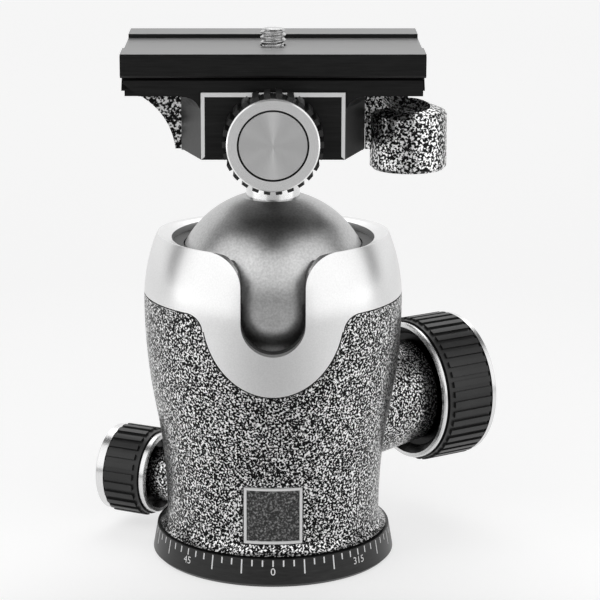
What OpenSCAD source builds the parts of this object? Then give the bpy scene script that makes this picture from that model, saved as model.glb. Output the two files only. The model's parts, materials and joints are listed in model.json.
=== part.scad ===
// Center ball head for a camera tripod: panning base, cast housing, locking ball and dovetail clamp.
// Frame: origin at the mouth of the tripod socket, +Z up, the drop notch faces -Y, +X to its right.

/* [Base] */
// How far the graduated ring stands out beyond the casting's foot
ring_lip = 0.7; // [0.3:0.05:2]
// How much wider the graduated ring is at its foot than at its top, on each side
ring_flare = 1.1; // [0.5:0.05:3]
// Height of the graduated ring
ring_h = 7; // [6:0.1:9]
// Minor diameter of the 3/8 inch tripod socket
socket_d = 7.94; // [5:0.01:9]
// Depth of the tripod socket
socket_depth = 12.5; // [9:0.1:14]
// Outer diameter of the steel socket bush
insert_d = 14; // [12:0.1:16]
// Diameter of the panning spindle
spindle_d = 22; // [20:0.1:24]

/* [Housing] */
// Thickness of the casing outside the ball at its largest diameter
shell_w = 7.3; // [6.6:0.1:10]
// How far the waist lies inside the largest diameter, on each side
waist_in = 5.3; // [4.8:0.1:6]
// How far the foot flares out from the waist, on each side
foot_flare = 1.9; // [1:0.1:2.4]
// Height of the waist
waist_z = 11; // [10.2:0.1:13]
// How far the largest diameter lies below the ball's middle
bulge_drop = 2.2; // [0.8:0.1:5]
// How far the rim's sharp outer edge lies outside the ball
rim_w = 3.8; // [3.4:0.1:4.6]
// Height of the rim above the ball's middle
rim_rise = 14.9; // [14.4:0.1:16.5]
// How far the rim drops from the sides to the rear
rim_drop = 1.5; // [0:0.1:2]
// How far the joint between casting and collar lies below the ball's middle
parting_drop = 0.1; // [0:0.1:2]
// Width of the bib that the collar drops over the front
bib_w = 34; // [30:0.1:38]
// How far the bib hangs below the joint
bib_l = 19.35; // [15:0.05:21]
// Radius of the blend between bib and level joint
bib_blend_r = 4; // [2:0.1:5]
// Width of the dark line between casting and collar
parting_gap = 0.3; // [0.1:0.05:0.5]
// Gap between the stem and each side of the drop notch
notch_play = 1.1; // [0.6:0.05:1.8]
// How far the notch's lowest point lies below the ball's middle
notch_depth = 9.2; // [8.2:0.1:10]
// Radius where the notch opens into the rim
notch_flare_r = 7.8; // [4:0.1:9]
// Side of the square front badge
badge_w = 14.4; // [10:0.1:15]
// Height of the badge's middle
badge_z = 17.3; // [16.5:0.1:18.5]

/* [Ball] */
// Diameter of the ball
ball_d = 50; // [47:0.1:56]
// Height of the ball's lowest point above the main knob's axis
ball_rise = 7.9; // [7.4:0.1:9]
// Diameter of the flat on top of the ball
ball_flat_d = 15.6; // [15:0.1:22]
// Diameter of the stem
stem_d = 13.4; // [12:0.1:14]
// Length of the stem between ball and clamp
stem_l = 12.95; // [11.5:0.05:16]
// Gap between the ball and its seats when unlocked
seat_gap = 0.3; // [0.2:0.05:0.5]

/* [Main lock knob] */
// Bearing of the main knob's axis, from +X towards +Y
main_bearing = 32.3; // [20:0.1:45]
// Height of the main knob's axis
main_z = 35.3; // [34.5:0.1:36]
// Distance of the main knob's near ring from the middle
main_reach = 40.9; // [40:0.1:46]
// Outer diameter of the ribbed grip
main_grip_d = 37.9; // [36:0.1:42]
// Length of the ribbed grip with its end grooves
main_grip_l = 13.95; // [10:0.05:18]
// Thickness of the bright ring next to the housing
main_ring_t = 0.9; // [0.8:0.1:2]
// Thickness of the bright rim at the outer end
main_rim_t = 1.4; // [1.2:0.1:3]
// Number of ribs
main_ribs = 44; // [30:1:52]

/* [Pan lock knob] */
// Bearing of the pan knob's axis, from +X towards +Y
pan_bearing = 153.8; // [140:0.1:165]
// Height of the pan knob's axis
pan_z = 15; // [14.8:0.1:16.5]
// Distance of the pan knob's near ring from the middle
pan_reach = 32.1; // [31.9:0.1:38]
// Outer diameter of the ribbed grip
pan_grip_d = 23.2; // [22:0.1:25]
// Length of the ribbed grip with its end grooves
pan_grip_l = 10.3; // [8:0.1:14]
// Thickness of the bright ring next to the housing
pan_ring_t = 1.5; // [0.8:0.1:2]
// Thickness of the bright rim at the outer end
pan_rim_t = 2.3; // [1.2:0.1:3]
// Number of ribs
pan_ribs = 26; // [20:1:32]

/* [Clamp] */
// Height from the underside to the deck that the plate slides on
deck_rise = 16.1; // [15.8:0.1:18]
// Thickness of the deck
deck_t = 1.5; // [1.2:0.1:2]
// Length of the jaws and deck
jaw_l = 71; // [66:0.1:76]
// Overall width across the two jaws
jaw_w = 44.6; // [44:0.1:48]
// Height of the jaw bars
jaw_h = 4; // [3.9:0.05:4.3]
// Width of the front block's face
block_w = 32.4; // [28:0.1:36]
// Width of the front block where it meets the casting
block_back_w = 44.6; // [42:0.1:47]
// Distance of the front block's face from the stem axis
block_front = 24; // [23.5:0.1:26]
// Distance of the joint between front block and casting from the stem axis
block_back = 8.3; // [8.1:0.1:9]
// Distance of the casting's rear face from the stem axis
casting_back = 17.5; // [17:0.1:19]
// Reach of the gusset under the deck's left end
wing_l = 33.2; // [31:0.1:34.5]
// Radius of the gusset's hollow curve
gusset_r = 17; // [14:0.1:18]

/* [Clamp knob] */
// Outer diameter of the ribbed grip
tension_grip_d = 23.8; // [23:0.1:26]
// Diameter of the bright face
tension_face_d = 21.9; // [20:0.1:22.4]
// Diameter of the inset turned disc
tension_cap_d = 16.4; // [12:0.1:18]
// Length of the knob
tension_l = 10.4; // [8:0.1:12]
// Height of its axis above the clamp's underside
tension_rise = 5.8; // [5:0.1:7]
// Number of ribs
tension_ribs = 26; // [18:1:32]

/* [Release lever] */
// Position of the lever's pin to the right of the stem axis
pivot_x = 16; // [15:0.1:17]
// Position of the lever's pin behind the stem axis
pivot_y = 8; // [7.8:0.1:8.6]
// Position of the finger grip to the right of the stem axis
grip_x = 33.5; // [33:0.1:36]
// Position of the finger grip behind the stem axis
grip_y = 2; // [0:0.1:4]
// Diameter of the finger grip
grip_d = 19; // [16:0.1:19.4]
// How far the finger grip hangs below the clamp
grip_drop = 6.3; // [4:0.1:8]
// Offset of the cam that moves the front jaw
cam_offset = 1.2; // [0.8:0.05:1.4]

/* [Camera plate] */
// Length of the plate
plate_l = 72.2; // [66:0.1:80]
// Depth of the plate's platform
plate_w = 47.6; // [46:0.1:52]
// Thickness of the platform up to the channel floor
plate_t = 4.6; // [4:0.1:6]
// Width of the dovetail at its foot
dovetail_w = 38; // [37:0.1:38.4]
// Height of the raised lands along both long edges
land_h = 1; // [0.5:0.1:1.5]
// Width of each raised land
land_w = 11.4; // [8:0.1:14]
// Major diameter of the 1/4 inch camera screw
screw_d = 6.35; // [6:0.01:9.53]
// How far the camera screw stands above the channel floor
screw_rise = 4.1; // [3.5:0.1:6]

/* [Hidden] */
$fn = 120;

// Small sizes shared by several pieces
eps = 0.01;
running = 0.05;
clear = 0.3;
flat_gap = 0.2;
far = 60;
large_fn = 720;

// Heights and diameters that follow the ball
ball_r = ball_d / 2;
ball_z = main_z + ball_rise + ball_r;
bulge_d = ball_d + 2 * shell_w;
bulge_z = ball_z - bulge_drop;
waist_d = bulge_d - 2 * waist_in;
foot_d = waist_d + 2 * foot_flare;
ring_top_d = foot_d + 2 * ring_lip;
ring_foot_d = ring_top_d + 2 * ring_flare;
rim_d = ball_d + 2 * rim_w;
rim_z = ball_z + rim_rise;
parting_z = ball_z - parting_drop;
bib_bottom_z = parting_z - bib_l;
notch_w = stem_d + 2 * notch_play;
notch_bottom_z = ball_z - notch_depth;
ball_flat_z = ball_z + sqrt(ball_r * ball_r - ball_flat_d * ball_flat_d / 4);
clamp_z = ball_flat_z + stem_l;

// Base
edge_chamfer = 0.8;
washer_t = 1;
washer_proud = 0.4;
washer_in_r = spindle_d / 2 + 5;
washer_out_r = foot_d / 2 - 4.9;
housing_z = ring_h + washer_proud;
web_h = 14.3;
web_top_z = housing_z + web_h;
nut_h = 4;
nut_r = spindle_d / 2 + 2.5;
nut_z = web_top_z + clear;
spindle_tip_r = spindle_d / 2 - 3;
nut_slots = 4;
nut_slot_w = 3;
bush_wall = 2;

// Housing
seat_r = ball_r + seat_gap;
bore_gap = 1.4;
bore_r = ball_r + bore_gap;
sleeve_wall = 3.2;
sleeve_r = bore_r + sleeve_wall;
pocket_r = nut_r + 2.5;
cup_floor = 1.2;
pocket_top_z = ball_z - ball_r - cup_floor;
sleeve_z = ball_z - 0.648 * ball_r;
lip_r = ball_r + clear;
sleeve_lid = 4.6;
sleeve_top_z = rim_z - sleeve_lid;
seat_lid = 3;
seat_top_z = rim_z - seat_lid;
seat_h = 10;
lip_h = 1.4;
lip_z = rim_z - lip_h;
// Radii of the flank's two arcs, the foot's flare and the shoulder, to a tenth; the flank's arcs just cross
flank_out = (bulge_d - waist_d) / 2;
flank_r = ceil(10.04 * (pow(bulge_z - waist_z, 2) + pow(flank_out, 2)) / (4 * flank_out)) / 10;
flank_mid_z = (waist_z + bulge_z) / 2;
flank_lap = 4;
foot_out = (foot_d - waist_d) / 2;
foot_r = round(10 * (pow(waist_z - housing_z, 2) + pow(foot_out, 2)) / (2 * foot_out)) / 10;
shoulder_in = (bulge_d - rim_d) / 2;
shoulder_r = round(10 * (pow(rim_z - bulge_z, 2) + pow(shoulder_in, 2)) / (2 * shoulder_in)) / 10;
rim_land = 0.3;
bib_steps = 48;
badge_in_r = waist_d / 2 - 1;
badge_out_r = waist_d / 2 + 0.35;
badge_frame_w = 0.7;
badge_frame_h = 0.3;

// Main lock: knob, screw, plunger and the cup that rises under the ball
lock_screw_r = 4;
main_boss_r = 13.2;
main_boss_root_r = 15.8;
boss_root = waist_d / 2 - 4;
boss_reach = 1;
knob_back = 2.2;
knob_bevel = 0.3;
ring_face_w = 1.2;
core_wall = 1.7;
cap_t = 1.2;
rib_w = 1.5;
rib_h = 0.6;
rib_set = 1.3;
groove_d = 1;
tension_rib_h = 1;
grip_wall = 2.4;
near_groove = 0.6;
far_groove = 0.5;
main_ring_in = 0.95;
main_rim_in = 0.25;
main_end = main_reach + main_ring_t + main_grip_l + main_rim_t;
main_hub_r = main_grip_d / 2 - grip_wall - core_wall;
plunger_r = 5;
plunger_in = 7.5;
plunger_out = 23.6;
plunger_tip_l = 3;
screw_gap = 0.6;
liner_t = 1.15;
liner_gap = 0.15;
liner_r = ball_r + seat_gap + liner_gap;
cup_r = bore_r - clear;
cup_top_z = ball_z - 0.448 * ball_r;
cup_seat_r = liner_r + liner_t;
cup_skirt = 1;
cup_under_z = pocket_top_z - cup_skirt;
cup_neck = 6;
cup_step = 0.5;
cone_tip_r = 4.5;
cone_gap = 0.4;
cone_tip_z = main_z + cone_gap;
liner_hole_r = 8;

// Pan lock: knob, screw and the shoe that grips the spindle
pan_screw_r = 3;
shoe_r = 3.5;
shoe_out = spindle_d / 2 + 6.6;
pan_boss_root_r = pan_z - housing_z - flat_gap;
pan_boss_r = pan_boss_root_r - 0.6;
pan_core_wall = 1.2;
pan_ring_in = 1.1;
pan_rim_in = 0.4;
pan_end = pan_reach + pan_ring_t + pan_grip_l + pan_rim_t;
pan_hub_r = pan_grip_d / 2 - grip_wall - pan_core_wall;

// Ball
ball_wall = 5;
core_r = ball_r - ball_wall;
core_gap = 0.3;
spigot_r = 4.5;
spigot_l = 2;

// Clamp heights
deck_top_z = clamp_z + deck_rise;
deck_z = deck_top_z - deck_t;
bar_z = deck_top_z - 0.6;
bar_top_z = bar_z + jaw_h;
block_z = clamp_z + 0.4;
block_chamfer = 0.9;
block_top_z = bar_z + 1;
tension_z = clamp_z + tension_rise;
bar_cut_w = 3.7;
bar_cut_h = 3;
stem_spigot_r = 5;
stem_spigot_l = 3;
bolt_r = 3;
bolt_head_r = 5;
bolt_head_h = 4;
bolt_end_z = clamp_z - 8;
corner_r = 5;
wing_back = 12;
wing_front = 6;
shelf_t = 2;
shelf_z = deck_z - shelf_t;
pin_r = 2.5;
pin_x = block_w / 2 - 2.2;
guide_r = 2;
guide_z = clamp_z + 9;
guide_front = block_front - 4;
tension_screw_r = 2.5;
tension_screw_end = bolt_r + 1.2;

// Release lever and yoke
hub_r = 7;
floor_t = 0.9;
yoke_t = 2.5;
yoke_z = clamp_z + floor_t + flat_gap;
cam_z = clamp_z + floor_t + flat_gap / 2;
hub_z = yoke_z + yoke_t + clear + flat_gap;
hub_top_z = shelf_z - flat_gap;
cam_r = 5;
cam_play = 0.15;
cam_x = pivot_x - cam_offset * cos(45);
cam_y = pivot_y + cam_offset * sin(45);
yoke_in_x = cam_x - cam_r - 2.6;
yoke_tine_x = pivot_x + 1.5;
yoke_tine = 1.5;
yoke_slot = cam_r + cam_play;
yoke_back_y = cam_y + yoke_slot + yoke_tine;
casting_right = pivot_x + 6;
pocket_wall_x = pivot_x - hub_r - 0.6;
pocket_wall_y = pivot_y - hub_r - 0.6;
arm_keepout_r = hub_r + 1.4;
arm_half_w = 6;
arm_z = clamp_z - 1.4;
arm_top_z = hub_top_z - 0.3;
grip_z = clamp_z - grip_drop;
grip_chamfer = 0.8;
grip_top_z = hub_top_z - 0.8;
grip_cone_h = 3.5;
grip_tip_r = 1;
grip_rim_z = grip_top_z - grip_cone_h;
scoop_r = 8;
scoop_y = grip_y - 3.5;
scoop_z = grip_rim_z - 0.5 + scoop_r;
flare_r = 4;
gusset_out = 7.6;
gusset_drop = 1.75;

// Camera plate
plate_z = deck_top_z + flat_gap;
dovetail_flat = 0.5;
dovetail_in = 2.5;
dovetail_h = 3.7;
platform_z = plate_z + dovetail_h;
floor_z = platform_z + plate_t;
jaw_play = 0.15;
jaw_lip_y = dovetail_w / 2 - dovetail_in + jaw_play + 0.2;
jaw_foot_y = dovetail_w / 2 + 0.2;
plate_chamfer = 0.6;
screw_r = screw_d / 2;
screw_neck_r = screw_r - 0.55;
screw_neck_top = 0.2;
slot_w = 1.6;
slot_h = 1.4;
screw_head_r = 7;
screw_head_z = plate_z + 0.3;
screw_head_h = 3.3;
screw_tip = 0.5;

// Lays what is drawn along +Z outwards from the middle, on a bearing and at a height
module outward(bearing, height) {
  translate([0, 0, height])
    rotate([0, 0, bearing])
      rotate([0, 90, 0])
        children();
}

// Lays what is drawn along +Z towards the front, at a height
module forward(height) {
  translate([0, 0, height])
    rotate([90, 0, 0])
      children();
}

// Extrudes a side view drawn as (depth, height) across the width, centred on the middle
module across(width) {
  translate([-width / 2, 0, 0])
    rotate([90, 0, 90])
      linear_extrude(width)
        children();
}

// Extrudes a front view drawn as (width, height) from one depth to another
module through(front, back) {
  translate([0, back, 0])
    rotate([90, 0, 0])
      linear_extrude(back - front)
        children();
}

// A ring or a disc with a hole, between two heights
module ring(out_r, in_r, low, high) {
  translate([0, 0, low])
    difference() {
      cylinder(r = out_r, h = high - low);
      translate([0, 0, -eps])
        cylinder(r = in_r, h = high - low + 2 * eps);
    }
}

// Half outline of the casing: flared foot, waist, S-shaped flank and rounded shoulder
module casing_outline() {
  difference() {
    translate([0, housing_z])
      square([foot_d / 2, waist_z - housing_z]);
    translate([waist_d / 2 + foot_r, waist_z])
      circle(r = foot_r);
  }
  difference() {
    translate([0, waist_z])
      square([bulge_d / 2, flank_mid_z - waist_z]);
    translate([waist_d / 2 + flank_r, waist_z])
      circle(r = flank_r, $fn = large_fn);
  }
  intersection() {
    translate([0, flank_mid_z - flank_lap])
      square([bulge_d / 2, bulge_z - flank_mid_z + flank_lap]);
    translate([bulge_d / 2 - flank_r, bulge_z])
      circle(r = flank_r, $fn = large_fn);
  }
  intersection() {
    translate([0, bulge_z])
      square([bulge_d / 2, rim_z - bulge_z]);
    translate([bulge_d / 2 - shoulder_r, bulge_z])
      circle(r = shoulder_r, $fn = large_fn);
  }
}

module casing() {
  rotate_extrude()
    casing_outline();
}

// Half outline of the hollow inside the casting: bush seat, nut pocket, cup bore and sleeve bore
module hollow_outline() {
  translate([0, housing_z - eps])
    square([spindle_d / 2 + running + bush_wall, far]);
  translate([0, web_top_z])
    square([pocket_r, far]);
  translate([0, pocket_top_z])
    square([bore_r, far]);
  translate([0, sleeve_z])
    square([sleeve_r, far]);
}

// Front view of the bib below the level joint, grown by a gap
module bib_outline(gap) {
  half_w = bib_w / 2 + gap;
  depth = parting_z - bib_bottom_z + gap;
  blend = bib_blend_r - gap;
  translate([0, parting_z])
    polygon([for (i = [0:bib_steps]) let (a = 180 + 180 * i / bib_steps) [half_w * cos(a), depth * sin(a)]]);
  for (side = [-1, 1])
    difference() {
      translate([side * (half_w + blend / 2 - 0.25), parting_z - gap - blend / 2])
        square([blend + 0.5, blend], center = true);
      translate([side * (half_w + blend), parting_z - gap - blend])
        circle(r = blend);
    }
}

// The space that belongs to the collar: all above the level joint, and the bib in front
module collar_space(gap) {
  translate([-far, -far, parting_z - gap])
    cube([2 * far, 2 * far, far]);
  through(-far, 0)
    bib_outline(gap);
}

// The U-shaped drop notch, open at the rim
module drop_notch() {
  half_w = notch_w / 2;
  round_z = notch_bottom_z + half_w;
  flare_z = rim_z - notch_flare_r;
  through(-far, -ball_r / 2) {
    translate([0, round_z])
      circle(r = half_w);
    translate([-half_w, round_z])
      square([notch_w, far]);
    for (side = [-1, 1])
      difference() {
        translate([side * (half_w + notch_flare_r / 2 - 0.25), flare_z + notch_flare_r])
          square([notch_flare_r + 0.5, 2 * notch_flare_r], center = true);
        translate([side * (half_w + notch_flare_r), flare_z])
          circle(r = notch_flare_r);
      }
  }
}

// Ribbed rubber sleeve of a knob, drawn along +Z: grooves at both ends, and ribs that start behind a set-back
module ribbed_grip(out_d, in_r, ribs, length, rise, near, outer, set_back) {
  land_r = out_d / 2 - rise;
  difference() {
    union() {
      cylinder(r = land_r - groove_d, h = length);
      translate([0, 0, near])
        cylinder(r = land_r, h = length - near - outer);
      translate([0, 0, near + set_back])
        linear_extrude(length - near - set_back - outer)
          intersection() {
            circle(r = out_d / 2);
            for (i = [0:ribs - 1])
              rotate(360 * i / ribs)
                translate([0, -rib_w / 2])
                  square([out_d, rib_w]);
          }
    }
    translate([0, 0, -eps])
      cylinder(r = in_r, h = length + 2 * eps);
  }
}

// Turned core of a side knob: bright ring, drum under the grip and bright rim, hollow at the back
module knob_core(out_d, ring_in, rim_in, hub_r, screw_r, start, ring_t, grip_l, rim_t) {
  ring_r = out_d / 2 - ring_in;
  rim_r = out_d / 2 - rim_in;
  drum_r = out_d / 2 - grip_wall;
  grip_at = start + ring_t;
  rim_at = grip_at + grip_l;
  end = rim_at + rim_t;
  rotate_extrude()
    polygon([
      [screw_r, start + knob_back], [hub_r, start + knob_back], [ring_r - ring_face_w, start],
      [ring_r - knob_bevel, start], [ring_r, start + knob_bevel], [ring_r, grip_at],
      [drum_r, grip_at], [drum_r, rim_at], [rim_r, rim_at], [rim_r, end - knob_bevel],
      [rim_r - knob_bevel, end], [hub_r, end], [hub_r, end - cap_t], [screw_r, end - cap_t]]);
}

// Slightly dished disc that closes the outer end of a side knob
module knob_cap(hub_r, end) {
  rim_w = 1.6;
  dish = 0.5;
  inset = 0.2;
  difference() {
    translate([0, 0, end - cap_t])
      cylinder(r = hub_r - running, h = cap_t - inset);
    translate([0, 0, end - inset - dish])
      cylinder(r1 = hub_r - rim_w - dish, r2 = hub_r - rim_w, h = dish + eps);
  }
}

// A rectangle with rounded rear corners
module rear_rounded(low_x, low_y, high_x, high_y, r) {
  translate([low_x, low_y])
    square([high_x - low_x, high_y - low_y - r]);
  translate([low_x + r, low_y])
    square([high_x - low_x - 2 * r, high_y - low_y]);
  for (x = [low_x + r, high_x - r])
    translate([x, high_y - r])
      circle(r = r);
}

// Base

module base_plate() {
  color("dimgray")
    difference() {
      rotate_extrude()
        polygon([
          [0, 0], [ring_foot_d / 2 - edge_chamfer, 0], [ring_foot_d / 2, edge_chamfer], [ring_top_d / 2, ring_h],
          [washer_out_r, ring_h], [washer_out_r, housing_z - washer_t], [washer_in_r, housing_z - washer_t],
          [washer_in_r, ring_h], [spindle_d / 2, ring_h], [spindle_d / 2, nut_z], [spindle_tip_r, nut_z],
          [spindle_tip_r, nut_z + nut_h], [0, nut_z + nut_h]]);
      translate([0, 0, -eps])
        cylinder(d = insert_d, h = socket_depth + eps);
    }
}

module socket_bush() {
  color("silver")
    ring(insert_d / 2, socket_d / 2, 0, socket_depth);
}

module thrust_washer() {
  color("ivory")
    ring(washer_out_r, washer_in_r, housing_z - washer_t, housing_z);
}

module spindle_nut() {
  color("silver")
    difference() {
      ring(nut_r, spindle_tip_r, nut_z, nut_z + nut_h);
      for (i = [0:nut_slots - 1])
        rotate([0, 0, 360 * i / nut_slots])
          translate([nut_r - 1.5, -nut_slot_w / 2, nut_z - eps])
            cube([far, nut_slot_w, nut_h + 2 * eps]);
    }
}

// Housing

module housing_casting() {
  color("gray")
    difference() {
      union() {
        rotate_extrude()
          difference() {
            casing_outline();
            hollow_outline();
            translate([0, parting_z - parting_gap])
              square(far);
          }
        difference() {
          union() {
            outward(main_bearing, main_z)
              translate([0, 0, boss_root])
                cylinder(r1 = main_boss_root_r, r2 = main_boss_r, h = main_reach + boss_reach - boss_root);
            outward(pan_bearing, pan_z)
              translate([0, 0, boss_root])
                cylinder(r1 = pan_boss_root_r, r2 = pan_boss_r, h = pan_reach + boss_reach - boss_root);
          }
          cylinder(r = bore_r + running, h = far);
        }
      }
      difference() {
        through(-far, 0)
          bib_outline(parting_gap);
        cylinder(r = sleeve_r - parting_gap / 2, h = far + far);
      }
      outward(main_bearing, main_z) {
        cylinder(r = lock_screw_r + running, h = far);
        cylinder(r = plunger_r + running, h = plunger_out + screw_gap);
      }
      outward(pan_bearing, pan_z) {
        cylinder(r = pan_screw_r + running, h = far);
        cylinder(r = shoe_r + running, h = shoe_out + screw_gap);
      }
      difference() {
        through(-far, 0)
          translate([0, badge_z])
            square(badge_w + 2 * parting_gap, center = true);
        cylinder(r = badge_in_r, h = far);
      }
    }
}

module collar() {
  color("gainsboro")
    difference() {
      intersection() {
        casing();
        collar_space(0);
      }
      translate([0, 0, -eps])
        cylinder(r = sleeve_r, h = sleeve_top_z + eps);
      cylinder(r = bore_r, h = seat_top_z);
      cylinder(r = lip_r, h = rim_z + eps);
      translate([0, 0, lip_z])
        cylinder(r1 = lip_r, r2 = rim_d / 2 - rim_land, h = rim_z - lip_z + eps);
      translate([-far, 0, rim_z])
        rotate([-atan(rim_drop / (rim_d / 2)), 0, 0])
          cube([2 * far, far, far]);
      drop_notch();
    }
}

module seat_sleeve() {
  color("black")
    difference() {
      ring(sleeve_r - running, bore_r, sleeve_z, sleeve_top_z);
      drop_notch();
    }
}

module seat_ring() {
  color("darkslategray")
    difference() {
      translate([0, 0, seat_top_z - seat_h])
        cylinder(r = bore_r - running, h = seat_h);
      translate([0, 0, ball_z])
        sphere(r = seat_r);
      drop_notch();
    }
}

module pan_bush() {
  color("peru")
    difference() {
      ring(spindle_d / 2 + running + bush_wall, spindle_d / 2 + running, housing_z, web_top_z);
      outward(pan_bearing, pan_z)
        cylinder(r = shoe_r + running, h = far);
    }
}

module badge() {
  color("black")
    difference() {
      intersection() {
        through(-far, 0)
          translate([0, badge_z])
            square(badge_w, center = true);
        ring(badge_out_r, badge_in_r, housing_z, bulge_z);
      }
      difference() {
        through(-far, 0)
          translate([0, badge_z])
            square(badge_w - 2 * badge_frame_w, center = true);
        cylinder(r = badge_out_r - badge_frame_h, h = far);
      }
    }
}

// Main lock

module main_knob_core() {
  color("silver")
    outward(main_bearing, main_z)
      knob_core(main_grip_d, main_ring_in, main_rim_in, main_hub_r, lock_screw_r, main_reach,
        main_ring_t, main_grip_l, main_rim_t);
}

module main_knob_grip() {
  color("black")
    outward(main_bearing, main_z)
      translate([0, 0, main_reach + main_ring_t])
        ribbed_grip(main_grip_d, main_grip_d / 2 - grip_wall, main_ribs, main_grip_l, rib_h,
          near_groove, far_groove, rib_set);
}

module main_knob_cap() {
  color("dimgray")
    outward(main_bearing, main_z)
      knob_cap(main_hub_r, main_end);
}

module main_lock_screw() {
  color("silver")
    outward(main_bearing, main_z)
      translate([0, 0, plunger_out + screw_gap])
        cylinder(r = lock_screw_r, h = main_end - cap_t - plunger_out - screw_gap);
}

module lock_plunger() {
  color("goldenrod")
    outward(main_bearing, main_z) {
      translate([0, 0, plunger_in])
        cylinder(r1 = plunger_r / 2, r2 = plunger_r, h = plunger_tip_l);
      translate([0, 0, plunger_in + plunger_tip_l])
        cylinder(r = plunger_r, h = plunger_out - plunger_in - plunger_tip_l);
    }
}

module lower_cup() {
  color("silver")
    difference() {
      rotate_extrude()
        polygon([
          [0, cone_tip_z], [cone_tip_r, cone_tip_z], [pocket_r - cup_neck, cup_under_z],
          [pocket_r - cup_step, cup_under_z], [pocket_r - cup_step, pocket_top_z + clear], [cup_r, pocket_top_z + clear], [cup_r, cup_top_z], [0, cup_top_z]]);
      translate([0, 0, ball_z])
        sphere(r = cup_seat_r);
    }
}

module cup_liner() {
  color("ivory")
    difference() {
      intersection() {
        translate([0, 0, ball_z])
          sphere(r = cup_seat_r - running);
        cylinder(r = cup_r, h = cup_top_z);
      }
      translate([0, 0, ball_z])
        sphere(r = liner_r);
      cylinder(r = liner_hole_r, h = far);
    }
}

// Pan lock

module pan_knob_core() {
  color("silver")
    outward(pan_bearing, pan_z)
      knob_core(pan_grip_d, pan_ring_in, pan_rim_in, pan_hub_r, pan_screw_r, pan_reach,
        pan_ring_t, pan_grip_l, pan_rim_t);
}

module pan_knob_grip() {
  color("black")
    outward(pan_bearing, pan_z)
      translate([0, 0, pan_reach + pan_ring_t])
        ribbed_grip(pan_grip_d, pan_grip_d / 2 - grip_wall, pan_ribs, pan_grip_l, rib_h,
          near_groove / 2, far_groove / 2, rib_set);
}

module pan_knob_cap() {
  color("dimgray")
    outward(pan_bearing, pan_z)
      knob_cap(pan_hub_r, pan_end);
}

module pan_lock_screw() {
  color("silver")
    outward(pan_bearing, pan_z)
      translate([0, 0, shoe_out + screw_gap])
        cylinder(r = pan_screw_r, h = pan_end - cap_t - shoe_out - screw_gap);
}

module brake_shoe() {
  color("goldenrod")
    difference() {
      outward(pan_bearing, pan_z)
        cylinder(r = shoe_r, h = shoe_out);
      cylinder(r = spindle_d / 2 + clear, h = far);
    }
}

// Ball and stem

module ball_core() {
  color("gray")
    translate([0, 0, ball_z])
      sphere(r = core_r);
}

module ball() {
  color("dimgray")
    difference() {
      translate([0, 0, ball_z])
        sphere(r = ball_r);
      translate([0, 0, ball_z])
        sphere(r = core_r + core_gap);
      translate([-far, -far, ball_flat_z])
        cube([2 * far, 2 * far, far]);
      translate([0, 0, ball_z])
        cylinder(r = spigot_r + running, h = far);
    }
}

module stem() {
  color("silver")
    difference() {
      union() {
        translate([0, 0, ball_flat_z - spigot_l])
          cylinder(r = spigot_r, h = spigot_l + eps);
        translate([0, 0, ball_flat_z])
          cylinder(d = stem_d, h = clamp_z - ball_flat_z);
        translate([0, 0, clamp_z - eps])
          cylinder(r = stem_spigot_r, h = stem_spigot_l + eps);
      }
      translate([0, 0, bolt_end_z])
        cylinder(r = bolt_r, h = far);
    }
}

// Clamp

// Front view of the casting's left end: a gusset with a hollow curve that carries the deck
module wing_outline() {
  difference() {
    translate([-wing_l, clamp_z])
      square([wing_l, deck_z - clamp_z]);
    translate([-wing_l - gusset_out, clamp_z - gusset_drop])
      circle(r = gusset_r);
  }
}

module clamp_casting() {
  front = -block_back + flat_gap;
  color("gray")
    difference() {
      union() {
        translate([0, 0, clamp_z])
          linear_extrude(deck_z - clamp_z)
            rear_rounded(-block_back_w / 2, front, casting_right, casting_back, corner_r);
        through(-wing_front, wing_back)
          wing_outline();
      }
      translate([pocket_wall_x, pocket_wall_y, clamp_z + floor_t])
        cube([far, far, shelf_z - clamp_z - floor_t]);
      difference() {
        translate([pocket_wall_x, pivot_y, clamp_z - eps])
          cube([far, far, floor_t + 2 * eps]);
        translate([pivot_x, pivot_y, clamp_z - 2 * eps])
          cylinder(r = hub_r + 0.3, h = floor_t + 4 * eps);
      }
      translate([yoke_in_x - flat_gap, -far, yoke_z - flat_gap])
        cube([yoke_tine_x - yoke_in_x + 2 * flat_gap, far + yoke_back_y + flat_gap, yoke_t + 2 * flat_gap]);
      translate([pivot_x, pivot_y, clamp_z + floor_t - eps])
        cylinder(r = pin_r, h = far);
      cylinder(r = stem_spigot_r, h = clamp_z + stem_spigot_l);
      translate([0, 0, clamp_z])
        cylinder(r = bolt_r + running, h = far);
      translate([0, 0, deck_z - bolt_head_h])
        cylinder(r = bolt_head_r + running, h = far);
      for (side = [-1, 1])
        forward(guide_z)
          translate([side * pin_x, 0, 0])
            cylinder(r = guide_r, h = far);
      forward(tension_z)
        translate([0, 0, tension_screw_end - flat_gap])
          cylinder(r = tension_screw_r + clear, h = far);
    }
}

// Side view of one jaw's dovetail bar, at the front; the rear one is its mirror image
module jaw_bar_outline(low_z) {
  polygon([
    [-jaw_w / 2, low_z], [-jaw_w / 2, bar_top_z - 0.3], [-jaw_w / 2 + 0.3, bar_top_z], [-jaw_lip_y, bar_top_z],
    [-jaw_foot_y, bar_top_z - jaw_foot_y + jaw_lip_y], [-jaw_foot_y, low_z]]);
}

module rear_jaw() {
  deck_front = -jaw_foot_y + 2.8;
  color("black")
    difference() {
      union() {
        translate([-jaw_l / 2, deck_front, deck_z])
          cube([jaw_l, jaw_w / 2 - deck_front, deck_t]);
        across(jaw_l)
          mirror([1, 0])
            jaw_bar_outline(deck_z);
      }
      translate([pivot_x, pivot_y, deck_z - eps])
        cylinder(r = pin_r, h = far);
    }
}

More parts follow.
